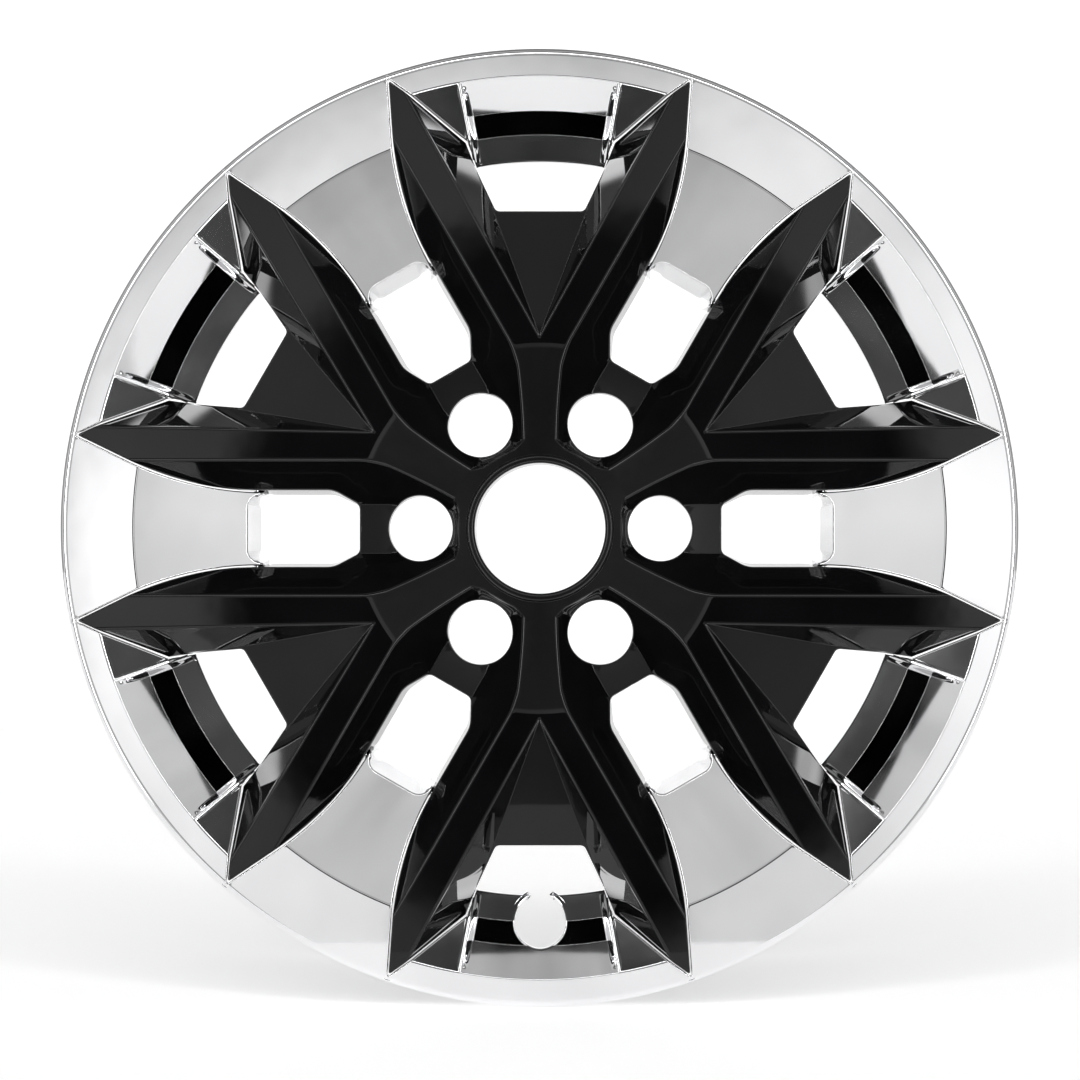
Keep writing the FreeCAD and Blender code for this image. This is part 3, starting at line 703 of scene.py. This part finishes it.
def moulding(name, sheets, wall_foot, thickness, add_fixings):
    """A thin moulding: its front surface, its edge walls, its hollow back and its fixings."""
    points, normals, faces = welded(*spread_sectors(sheets))
    mesh = bmesh.new()
    verts = [mesh.verts.new(point) for point in points]
    for face in faces:
        corners = [verts[index] for index in face]
        if mesh.faces.get(corners) is None:
            mesh.faces.new(corners)
    front_normals = {vert: normal for vert, normal in zip(verts, normals)}
    wall_normals = add_walls(mesh, wall_foot)
    front_faces = set(mesh.faces)
    add_back(mesh, front_normals, wall_normals, thickness)
    add_fixings(mesh)
    shown = finished_mesh(name, mesh, front_faces, front_normals, wall_normals)
    mesh.free()
    return shown


def add_back(mesh, front_normals, wall_normals, thickness):
    """Inner side of the moulding, one wall behind the front, joined to it at the feet of the edge walls."""
    fronts = list(mesh.faces)
    feet = [edge.link_loops[0] for edge in mesh.edges if len(edge.link_faces) == 1]
    feet = [(loop.vert, loop.link_loop_next.vert) for loop in feet]
    behind = {}
    for vert in list(mesh.verts):
        normal = Vector(wall_normals[vert] if vert in wall_normals else front_normals[vert])
        behind[vert] = mesh.verts.new(vert.co - thickness * normal)
    for face in fronts:
        mesh.faces.new([behind[vert] for vert in reversed(face.verts)])
    for first, second in feet:
        mesh.faces.new((second, first, behind[first], behind[second]))


def fixing_places():
    """Both screw places behind each panel: turn and side."""
    for index in range(LUG_COUNT):
        turn = Matrix.Rotation(index * 2.0 * math.pi / LUG_COUNT, 4, "Z")
        for side in (-1.0, 1.0):
            yield turn, side


def add_ears(mesh):
    """Ears behind each panel, which carry the insert."""
    inner, outer = EAR_ACROSS - EAR_INNER_HALF, SLOT_HALF + 1.0
    for turn, side in fixing_places():
        middle = Matrix.Translation((EAR_ALONG, side * 0.5 * (inner + outer), 0.5 * EAR_THICKNESS))
        size = Matrix.Diagonal((2.0 * EAR_HALF_LENGTH, outer - inner, EAR_THICKNESS, 1.0))
        bmesh.ops.create_cube(mesh, size=1.0, matrix=turn @ middle @ size)


def add_posts(mesh):
    """Screw posts on the back of each panel."""
    top = slope_line(EAR_ALONG - POST_RADIUS, (PANEL_EDGE, PANEL_EDGE_FRONT), (CREASE_RADIUS, CREASE_FRONT))
    top = top - POST_COVER
    for turn, side in fixing_places():
        middle = Matrix.Translation((EAR_ALONG, side * EAR_ACROSS, 0.5 * (EAR_THICKNESS + top)))
        bmesh.ops.create_cone(mesh, cap_ends=True, segments=32, radius1=POST_RADIUS, radius2=POST_RADIUS,
                              depth=top - EAR_THICKNESS, matrix=turn @ middle)


def add_walls(mesh, wall_foot):
    """Edge walls behind the front. Returns the walls' own normals by point."""
    rim = [edge for edge in mesh.edges if len(edge.link_faces) == 1]
    outward = {}
    for edge in rim:
        first, second = (loop.vert for loop in (edge.link_loops[0], edge.link_loops[0].link_loop_next))
        along = second.co - first.co
        side = Vector((along.y, -along.x, 0.0)).normalized()
        for vert in (first, second):
            outward[vert] = outward.get(vert, Vector((0.0, 0.0, 0.0))) + side
    made = bmesh.ops.extrude_edge_only(mesh, edges=rim)["geom"]
    feet = {}
    for edge in (item for item in made if isinstance(item, bmesh.types.BMEdge)):
        for vert in edge.verts:
            feet[vert] = None
    wall_normals = {vert: side.normalized() for vert, side in outward.items()}
    for vert in feet:
        above = next(edge.other_vert(vert) for edge in vert.link_edges if edge.other_vert(vert) in outward)
        side = wall_normals[above]
        wall_normals[vert] = side
        level, shift = wall_foot(vert.co, side)
        vert.co.z = level
        vert.co += side * shift
    return wall_normals


def finished_mesh(name, mesh, front_faces, front_normals, wall_normals):
    """The mesh in metres, in the part's frame, with smooth fronts and walls."""
    mesh.verts.index_update()
    for face in mesh.faces:
        face.smooth = True
    for edge in mesh.edges:
        edge.smooth = edge.calc_face_angle(0.0) < SHARP_ANGLE
    chosen = []
    for face in mesh.faces:
        for loop in face.loops:
            chosen.append(corner_normal(face, loop.vert, front_faces, front_normals, wall_normals))
    data = bpy.data.meshes.new(name)
    mesh.to_mesh(data)
    places = np.empty(len(data.vertices) * 3)
    data.vertices.foreach_get("co", places)
    data.vertices.foreach_set("co", (upright(places.reshape(-1, 3)) * MM).ravel())
    data.normals_split_custom_set(upright(np.array(chosen)).tolist())
    data.update()
    return data


def corner_normal(face, vert, front_faces, front_normals, wall_normals):
    """Normal of one corner of a face. Zero leaves it to the faces around it."""
    if face not in front_faces:
        return (0.0, 0.0, 0.0)
    on_wall = any(corner not in front_normals for corner in face.verts)
    if vert in wall_normals and (on_wall or vert in front_normals):
        return tuple(wall_normals[vert])
    return tuple(front_normals[vert])


def sheet_of(outline, level, creases, extra_rows, edge_rows):
    """One half sector ready to be spread round the axis."""
    plan, triangles = make_plan(outline, creases, extra_rows, edge_rows)
    return plan, level(plan[:, 0], plan[:, 1]), surface_normals(level, plan), triangles


def insert_sheets():
    """The spoke insert's six sectors are all alike."""
    outline = insert_outline()
    rows = [INSERT_EDGE * share for share in EDGE_ROW_SHARES]
    sheet = sheet_of(outline, lambda x, y: insert_level(outline, x, y), insert_creases(), hub_rings(), rows)
    return [sheet] * LUG_COUNT


def ring_sheets():
    """The ring's six sectors, the lowest of them with the valve hole."""
    rows = [RING_EDGE * share for share in EDGE_ROW_SHARES]
    made = []
    for with_valve in (False, True):
        outline = ring_outline(with_valve)
        made.append(sheet_of(outline, lambda x, y: ring_level(outline, x, y), ring_creases(),
                             fin_rows() + lip_rows() + ledge_rows(), rows))
    lowest = LUG_COUNT // 2
    return [made[1] if index == lowest else made[0] for index in range(LUG_COUNT)]


def insert_foot(point, _):
    """Where an edge wall of the insert ends, and how far it leans into the opening."""
    radius = math.hypot(point.x, point.y)
    share = max(0.0, (radius - BACK_BEND_RADIUS) / (INSERT_RADIUS - BACK_BEND_RADIUS))
    back = INSERT_BACK + share * (TIP_BACK - INSERT_BACK)
    inside_panels = min(max((PANEL_EDGE - 2.0 - radius) / 10.0, 0.0), 1.0)
    lean = WALL_LEAN * inside_panels * (point.z - back) if radius > DISH_RADIUS else 0.0
    return back, lean


def ring_foot(point, side):
    """Where an edge wall of the ring ends, and how far the flanges lean into the inner windows."""
    radius = math.hypot(point.x, point.y)
    if radius > COVER_RADIUS - 1.0:
        return LIP_BACK, 0.0
    inward = max(-(side.x * point.x + side.y * point.y) / radius, 0.0)
    share = min(max((PANEL_EDGE + 14.0 - radius) / 8.0, 0.0), 1.0)
    back = share * FLANGE_BACK + (1.0 - share) * (point.z - WALL)
    return back, FLANGE_LEAN * share * inward * inward


def place(data, node, material, slot):
    """Shows a mesh in place of a solid of the model."""
    shown = bpy.data.objects.new(f"{node}_look", data)
    bpy.context.scene.collection.objects.link(shown)
    data.materials.append(material)
    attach(shown, "root")
    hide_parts(node)


# Materials

def new_material(name):
    """An empty material with a shader: its nodes, links and shader."""
    material = bpy.data.materials.new(name)
    material.use_nodes = True
    nodes = material.node_tree.nodes
    return material, nodes, material.node_tree.links, nodes["Principled BSDF"]


def noise_range(nodes, links, scale, detail, low, high, stretch=(1.0, 1.0, 1.0)):
    """A noise pattern fixed to the piece, spread between two values."""
    where = nodes.new("ShaderNodeTexCoord")
    mapping = nodes.new("ShaderNodeMapping")
    mapping.inputs["Scale"].default_value = stretch
    noise = nodes.new("ShaderNodeTexNoise")
    noise.inputs["Scale"].default_value = scale
    noise.inputs["Detail"].default_value = detail
    spread = nodes.new("ShaderNodeMapRange")
    spread.inputs["From Min"].default_value = 0.3
    spread.inputs["From Max"].default_value = 0.7
    spread.inputs["To Min"].default_value = low
    spread.inputs["To Max"].default_value = high
    links.new(where.outputs["Object"], mapping.inputs["Vector"])
    links.new(mapping.outputs["Vector"], noise.inputs["Vector"])
    links.new(noise.outputs["Fac"], spread.inputs["Value"])
    return noise, spread


def ripple(nodes, links, shader, scale, distance, strength):
    """A faint waviness of the moulded surface."""
    noise, _ = noise_range(nodes, links, scale, 2.0, 0.0, 1.0)
    bump = nodes.new("ShaderNodeBump")
    bump.inputs["Strength"].default_value = strength
    bump.inputs["Distance"].default_value = distance
    links.new(noise.outputs["Fac"], bump.inputs["Height"])
    links.new(bump.outputs["Normal"], shader.inputs["Normal"])


def tinted(nodes, links, shader, factor, dark, light):
    """A base colour that wanders between two tints."""
    ramp = nodes.new("ShaderNodeValToRGB")
    ramp.color_ramp.elements[0].color = (*dark, 1.0)
    ramp.color_ramp.elements[1].color = (*light, 1.0)
    links.new(factor.outputs["Result"], ramp.inputs["Fac"])
    links.new(ramp.outputs["Color"], shader.inputs["Base Color"])


def bright_plating():
    """Mirror-bright plating on moulded plastic, faintly wavy."""
    material, nodes, links, shader = new_material("bright_plating")
    shader.inputs["Metallic"].default_value = 1.0
    _, tint = noise_range(nodes, links, 14.0, 2.0, 0.0, 1.0)
    tinted(nodes, links, shader, tint, (0.80, 0.80, 0.81), (0.88, 0.88, 0.89))
    _, rough = noise_range(nodes, links, 30.0, 3.0, 0.045, 0.085)
    links.new(rough.outputs["Result"], shader.inputs["Roughness"])
    ripple(nodes, links, shader, 22.0, 0.0012, 0.10)
    return material


def gloss_black():
    """High-gloss black plastic."""
    material, nodes, links, shader = new_material("gloss_black")
    shader.inputs["Specular IOR Level"].default_value = 0.36
    _, tint = noise_range(nodes, links, 18.0, 2.0, 0.0, 1.0)
    tinted(nodes, links, shader, tint, (0.0025, 0.0025, 0.0028), (0.0045, 0.0045, 0.005))
    _, rough = noise_range(nodes, links, 40.0, 3.0, 0.02, 0.05)
    links.new(rough.outputs["Result"], shader.inputs["Roughness"])
    ripple(nodes, links, shader, 30.0, 0.0010, 0.05)
    return material


def plated_steel():
    """Zinc-plated screws, slightly mottled."""
    material, nodes, links, shader = new_material("plated_steel")
    shader.inputs["Metallic"].default_value = 1.0
    _, tint = noise_range(nodes, links, 220.0, 4.0, 0.0, 1.0)
    tinted(nodes, links, shader, tint, (0.50, 0.51, 0.52), (0.66, 0.67, 0.68))
    _, rough = noise_range(nodes, links, 300.0, 3.0, 0.24, 0.42)
    links.new(rough.outputs["Result"], shader.inputs["Roughness"])
    return material


def spring_steel():
    """Dark spring steel, rolled lengthways."""
    material, nodes, links, shader = new_material("spring_steel")
    shader.inputs["Metallic"].default_value = 1.0
    _, tint = noise_range(nodes, links, 160.0, 4.0, 0.0, 1.0, (1.0, 6.0, 6.0))
    tinted(nodes, links, shader, tint, (0.24, 0.24, 0.25), (0.36, 0.36, 0.37))
    _, rough = noise_range(nodes, links, 240.0, 3.0, 0.28, 0.45, (1.0, 6.0, 6.0))
    links.new(rough.outputs["Result"], shader.inputs["Roughness"])
    return material


def stage_white(name, shade, glow_level):
    """White floor or backdrop that still takes a shadow."""
    material, nodes, links, shader = new_material(name)
    shader.inputs["Roughness"].default_value = 0.9
    shader.inputs["Specular IOR Level"].default_value = 0.0
    _, tint = noise_range(nodes, links, 0.8, 1.0, 0.0, 1.0)
    tinted(nodes, links, shader, tint, (shade, shade, shade), (shade + 0.02, shade + 0.02, shade + 0.02))
    glow = nodes.new("ShaderNodeEmission")
    path = nodes.new("ShaderNodeLightPath")
    total = nodes.new("ShaderNodeAddShader")
    shown = math_node(nodes, links, "ADD", path.outputs["Is Camera Ray"], path.outputs["Is Glossy Ray"])
    shown = math_node(nodes, links, "ADD", shown, path.outputs["Is Transmission Ray"])
    links.new(math_node(nodes, links, "MULTIPLY", shown, glow_level), glow.inputs["Strength"])
    links.new(shader.outputs["BSDF"], total.inputs[0])
    links.new(glow.outputs["Emission"], total.inputs[1])
    links.new(total.outputs["Shader"], nodes["Material Output"].inputs["Surface"])
    return material


# Stage, light and camera

def flat_sheet(name, corners, material):
    """One flat sheet of the stage."""
    data = bpy.data.meshes.new(name)
    data.from_pydata(corners, [], [tuple(range(len(corners)))])
    data.materials.append(material)
    shown = bpy.data.objects.new(name, data)
    bpy.context.scene.collection.objects.link(shown)


def make_stage():
    """Floor and backdrop."""
    white = stage_white("floor_white", 0.86, 0.47)
    grey = stage_white("backdrop_white", 0.4, 0.8)
    floor = -COVER_RADIUS * MM - 0.0005
    wide, half, near, far, top = 4.0, 1.1, -0.2, 2.0, 1.1
    floor_corners = [(-wide, near, floor), (wide, near, floor), (wide, far, floor), (-wide, far, floor)]
    backdrop_corners = [(-half, far, floor), (half, far, floor), (half, far, top), (-half, far, top)]
    flat_sheet("floor", floor_corners, white)
    flat_sheet("backdrop", backdrop_corners, grey)


def math_node(nodes, links, operation, first, second=None):
    """One sum over sockets or plain numbers."""
    node = nodes.new("ShaderNodeMath")
    node.operation = operation
    for socket, value in zip(node.inputs, (first, second)):
        if isinstance(value, float):
            socket.default_value = value
        elif value is not None:
            links.new(value, socket)
    return node.outputs[0]


def make_world():
    """Studio surroundings as rings round the camera's axis, brighter at the sides and greyer below."""
    world = bpy.data.worlds.new("studio")
    bpy.context.scene.world = world
    world.use_nodes = True
    nodes, links = world.node_tree.nodes, world.node_tree.links
    where = nodes.new("ShaderNodeTexCoord").outputs["Generated"]
    parts = nodes.new("ShaderNodeSeparateXYZ")
    links.new(where, parts.inputs["Vector"])
    x, y, z = (parts.outputs[axis] for axis in "XYZ")
    forward = math_node(nodes, links, "MULTIPLY", y, -1.0)
    angle = math_node(nodes, links, "DIVIDE", math_node(nodes, links, "ARCCOSINE", forward), math.pi)
    rings = world_ramp(nodes, links, angle, RING_STOPS)
    strip = math_node(nodes, links, "MULTIPLY", world_ramp(nodes, links, angle, STRIP_STOPS), STRIP_STRENGTH)
    across = math_node(nodes, links, "ABSOLUTE", x)
    total = math_node(nodes, links, "ADD", across, math_node(nodes, links, "ABSOLUTE", z))
    aside = math_node(nodes, links, "DIVIDE", across, math_node(nodes, links, "ADD", total, 0.001))
    below = math_node(nodes, links, "DIVIDE", z, math_node(nodes, links, "ADD", total, 0.001))
    below = math_node(nodes, links, "MINIMUM", below, 0.0)
    level = math_node(nodes, links, "MULTIPLY", aside, SIDE_GAIN)
    level = math_node(nodes, links, "ADD", level, math_node(nodes, links, "MULTIPLY", below, BELOW_LOSS))
    level = math_node(nodes, links, "ADD", level, 1.0)
    level = math_node(nodes, links, "MULTIPLY", level, world_streaks(nodes, links, where))
    light = math_node(nodes, links, "MULTIPLY", math_node(nodes, links, "ADD", rings, strip), level)
    links.new(light, nodes["Background"].inputs["Color"])


def world_streaks(nodes, links, where):
    """Soft upright streaks, as from folds in a white cloth."""
    mapping = nodes.new("ShaderNodeMapping")
    mapping.inputs["Scale"].default_value = (9.0, 9.0, 1.2)
    noise = nodes.new("ShaderNodeTexNoise")
    noise.inputs["Scale"].default_value = 1.6
    noise.inputs["Detail"].default_value = 3.0
    spread = nodes.new("ShaderNodeMapRange")
    spread.inputs["From Min"].default_value = 0.35
    spread.inputs["From Max"].default_value = 0.65
    spread.inputs["To Min"].default_value = 0.86
    spread.inputs["To Max"].default_value = 1.06
    links.new(where, mapping.inputs["Vector"])
    links.new(mapping.outputs["Vector"], noise.inputs["Vector"])
    links.new(noise.outputs["Fac"], spread.inputs["Value"])
    return spread.outputs["Result"]


def world_ramp(nodes, links, angle, stops):
    """Brightness by the angle away from the camera's axis. The stops are in degrees."""
    ramp = nodes.new("ShaderNodeValToRGB")
    ramp.color_ramp.interpolation = "LINEAR"
    elements = ramp.color_ramp.elements
    elements[0].position, elements[1].position = stops[0][0] / 180.0, stops[-1][0] / 180.0
    for degrees, _ in stops[1:-1]:
        elements.new(degrees / 180.0)
    for element, (_, value) in zip(elements, stops):
        element.color = (value, value, value, 1.0)
    links.new(angle, ramp.inputs["Fac"])
    return ramp.outputs["Color"]


def make_camera():
    """Square to the cover's face, so far off that its perspective matches."""
    image_width = 1080.0
    sensor, lens = 36.0, 64.35
    distance = 1.100
    aside, below = 0.024, -0.028
    centre_right, centre_down = -0.6, -12.4
    camera = bpy.data.cameras.new("camera")
    camera.sensor_width = sensor
    camera.lens = lens
    pixels = lens / sensor * image_width / distance
    camera.shift_x = (-aside * pixels - centre_right) / image_width
    camera.shift_y = (-below * pixels + centre_down) / image_width
    shown = bpy.data.objects.new("camera", camera)
    shown.location = (aside, -LIP_FRONT * MM - distance, below)
    shown.rotation_euler = (math.radians(90.0), 0.0, 0.0)
    bpy.context.scene.collection.objects.link(shown)
    bpy.context.scene.camera = shown


def dress_small_parts():
    """Finishes of the screws and clips."""
    steel, spring = plated_steel(), spring_steel()
    for name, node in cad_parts.items():
        if name not in ("spoke_insert", "chrome_ring"):
            node.data.materials.clear()
            node.data.materials.append(steel if name == "insert_screws" else spring)


insert_mesh = moulding("spoke_insert_look", insert_sheets(), insert_foot, WALL, add_ears)
place(insert_mesh, "spoke_insert", gloss_black(), "black_plastic")
ring_mesh = moulding("chrome_ring_look", ring_sheets(), ring_foot, WALL, add_posts)
place(ring_mesh, "chrome_ring", bright_plating(), "plated_plastic")
dress_small_parts()
make_stage()
make_world()
make_camera()
bpy.context.scene.view_settings.view_transform = "Standard"
